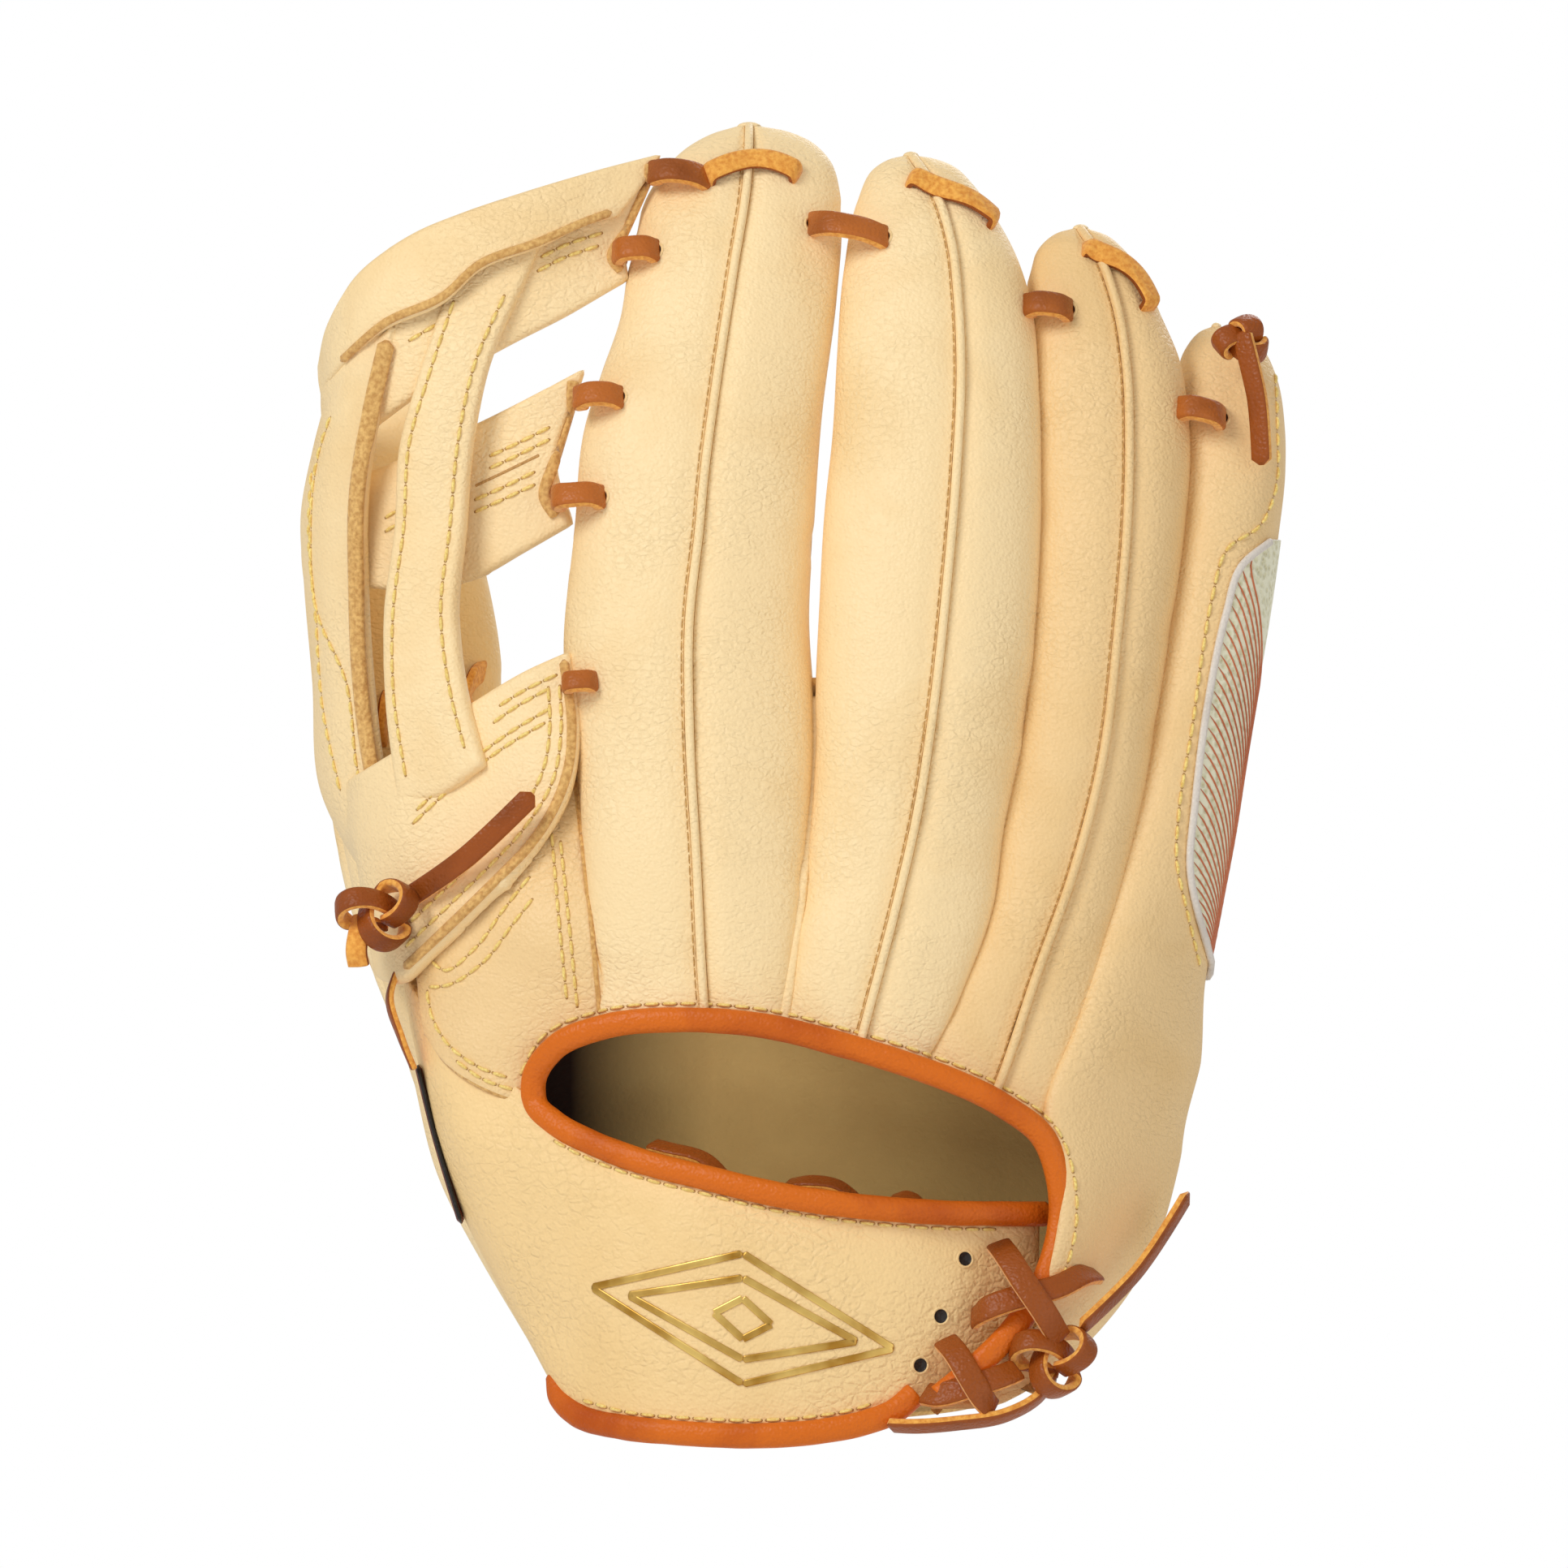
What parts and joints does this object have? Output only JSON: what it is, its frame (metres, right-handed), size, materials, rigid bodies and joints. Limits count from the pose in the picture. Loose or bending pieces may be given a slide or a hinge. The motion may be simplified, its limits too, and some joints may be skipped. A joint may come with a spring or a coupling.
{
  "type": "baseball glove",
  "caption": "Outfielder's fielding glove with an H web, laced fingers, rolled leather bindings and a hinged thumb side and little-finger side.",
  "frame": {"origin": "middle of the wrist opening, level with the bottom of the wrist strap", "axes": "+Z towards the fingertips, -Y out of the back of the hand, +Y out of the pocket, -X towards the web and thumb"},
  "size_m": [0.2459, 0.124, 0.3282],
  "materials": {
    "cream_leather": "smooth pebbled steerhide with fine creases",
    "binding": "rolled orange-tan leather binding",
    "lace": "rawhide lace, brown grain face and golden suede back",
    "lining": "matt olive-tan lining leather",
    "felt": "pressed wool felt",
    "mesh": "pale woven mesh panel",
    "piping": "pale piping"
  },
  "bodies": {
    "hand": {"finger_lace": "lace", "hand_lining": "lining", "heel_lace": "lace", "heel_leather": "cream_leather", "heel_pad": "felt", "index_back_inner": "cream_leather", "index_back_outer": "cream_leather", "index_front": "cream_leather", "index_stay": "felt", "index_tip_lace": "lace", "index_welt": "cream_leather", "middle_back_inner": "cream_leather", "middle_back_outer": "cream_leather", "middle_front": "cream_leather", "middle_stay": "felt", "middle_tip_lace": "lace", "middle_welt": "cream_leather", "opening_binding": "binding", "palm_leather": "cream_leather", "pinky_flap": "cream_leather", "strap_bottom_binding": "binding", "strap_lining": "lining", "strap_top_binding": "binding", "web_index_laces": "lace", "web_inner_post": "cream_leather", "web_middle_bar": "cream_leather", "web_top_bar": "cream_leather", "wrist_knot": "lace", "wrist_lace": "lace", "wrist_lace_tail": "lace", "wrist_strap": "cream_leather"},
    "thumb": {"thumb_back": "cream_leather", "thumb_front": "cream_leather", "thumb_heel_leather": "cream_leather", "thumb_heel_pad": "felt", "thumb_panel": "cream_leather", "thumb_stay": "felt", "web_base": "cream_leather", "web_base_outer": "cream_leather", "web_knot": "lace", "web_lace_tail": "lace", "web_middle_bar_outer": "cream_leather", "web_outer_post": "cream_leather", "web_thumb_laces": "lace", "web_top_bar_outer": "cream_leather"},
    "outer_fingers": {"outer_finger_lace": "lace", "outer_palm_leather": "cream_leather", "pinky_back_inner": "cream_leather", "pinky_front": "cream_leather", "pinky_knot": "lace", "pinky_lace_tail": "lace", "pinky_side_panel": "mesh", "pinky_stay": "felt", "pinky_welt": "piping", "ring_back_inner": "cream_leather", "ring_back_outer": "cream_leather", "ring_front": "cream_leather", "ring_stay": "felt", "ring_tip_lace": "lace", "ring_welt": "cream_leather"}
  },
  "joints": [
    {"name": "thumb_fold", "type": "hinge", "parent": "hand", "child": "thumb", "pos_m": [-0.05, 0.025, 0.02], "axis": [0.2028, 0.0245, -0.9789], "range_deg": [-5, 25]},
    {"name": "outer_finger_fold", "type": "hinge", "parent": "hand", "child": "outer_fingers", "pos_m": [0.046, 0.028, 0.094], "axis": [0.0678, 0, 0.9977], "range_deg": [0, 12]}
  ]
}
